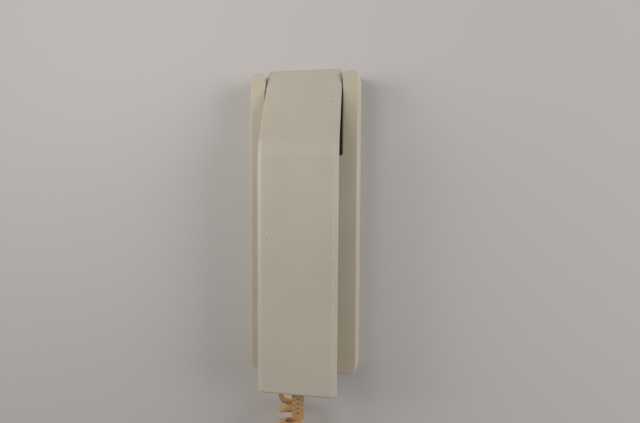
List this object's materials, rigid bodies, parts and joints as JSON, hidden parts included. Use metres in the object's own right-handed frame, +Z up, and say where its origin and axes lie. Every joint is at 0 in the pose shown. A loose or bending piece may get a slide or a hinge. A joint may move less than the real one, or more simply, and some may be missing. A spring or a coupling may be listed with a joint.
{
  "type": "wall interphone handset",
  "caption": "Slim wall interphone: an angular one-hand handset that hangs in a recess of a flat base unit, with a coiled cord below.",
  "frame": {"origin": "on the wall plane, midway between the two wall screws, which is the middle of the base unit's back", "axes": "+X to the right when facing the unit, +Y into the wall, +Z up"},
  "size_m": [0.0764, 0.0437, 0.3957],
  "materials": {
    "ivory_abs": "satin",
    "cover_abs": "fine texture",
    "lever_abs": "satin",
    "zinc_plate": "zinc plated",
    "screw_steel": "zinc plated",
    "spring_wire": "bright",
    "black_rubber": "matte",
    "board_laminate": "paper laminate",
    "black_plastic": "satin",
    "core_steel": "laminated",
    "capacitor_can": "sleeved",
    "trimmer_plastic": "matte",
    "cone_paper": "treated paper",
    "magnet_ferrite": "sintered",
    "wire_pvc": "sheathed",
    "cord_pvc": "satin",
    "capsule_can": "bright",
    "cast_weight": "rough cast",
    "button_plastic": "satin"
  },
  "bodies": {
    "base": {"wall_bracket": "zinc_plate", "rear_cover": "cover_abs", "base_housing": "ivory_abs", "rest_pads": "black_rubber", "cover_screws": "screw_steel", "fixing_screw": "screw_steel", "circuit_board": "board_laminate", "board_screws": "screw_steel", "terminal_block": "black_plastic", "terminal_screws": "screw_steel", "transformer": "core_steel", "capacitors": "capacitor_can", "volume_trimmer": "trimmer_plastic", "speaker_frame": "zinc_plate", "speaker_cone": "cone_paper", "speaker_magnet": "magnet_ferrite", "speaker_screws": "screw_steel", "speaker_wires": "wire_pvc", "lever_pin": "screw_steel", "lever_spring": "spring_wire", "switch_body": "black_plastic", "base_grommet": "cord_pvc", "base_lead": "cord_pvc", "lead_clamp": "black_plastic", "clamp_screws": "screw_steel", "curly_cord": "cord_pvc"},
    "handset": {"front_shell": "ivory_abs", "rear_shell": "ivory_abs", "shell_screws": "screw_steel", "ear_capsule": "black_plastic", "ear_gasket": "black_rubber", "ear_bridge": "black_plastic", "bridge_screws": "screw_steel", "mic_capsule": "capsule_can", "mic_holder": "black_rubber", "balance_weight": "cast_weight", "weight_screws": "screw_steel", "joint_board": "board_laminate", "joint_board_screws": "screw_steel", "handset_lead": "cord_pvc", "ear_wires": "wire_pvc", "mic_wires": "wire_pvc", "cord_boot": "cord_pvc"},
    "hook_lever": {"hook_lever": "lever_abs"},
    "switch_button": {"switch_button": "button_plastic"}
  },
  "joints": [
    {"name": "handset_lift", "type": "slide", "parent": "base", "child": "handset", "axis": [0, -1, 0], "range_m": [0, 0.06], "deforming": ["curly_cord"]},
    {"name": "hook_lever_pivot", "type": "hinge", "parent": "base", "child": "hook_lever", "pos_m": [0.014, -0.007, 0.042], "axis": [1, 0, 0], "range_deg": [0, 9.1], "deforming": ["lever_spring"]},
    {"name": "switch_button_press", "type": "slide", "parent": "base", "child": "switch_button", "axis": [0, 0, -1], "range_m": [0, 0.00135]}
  ],
  "couplings": [
    {"joint": "hook_lever_pivot", "follows": "handset_lift", "rad_per_m": 2.618},
    {"joint": "switch_button_press", "follows": "handset_lift", "ratio": 0.022}
  ]
}
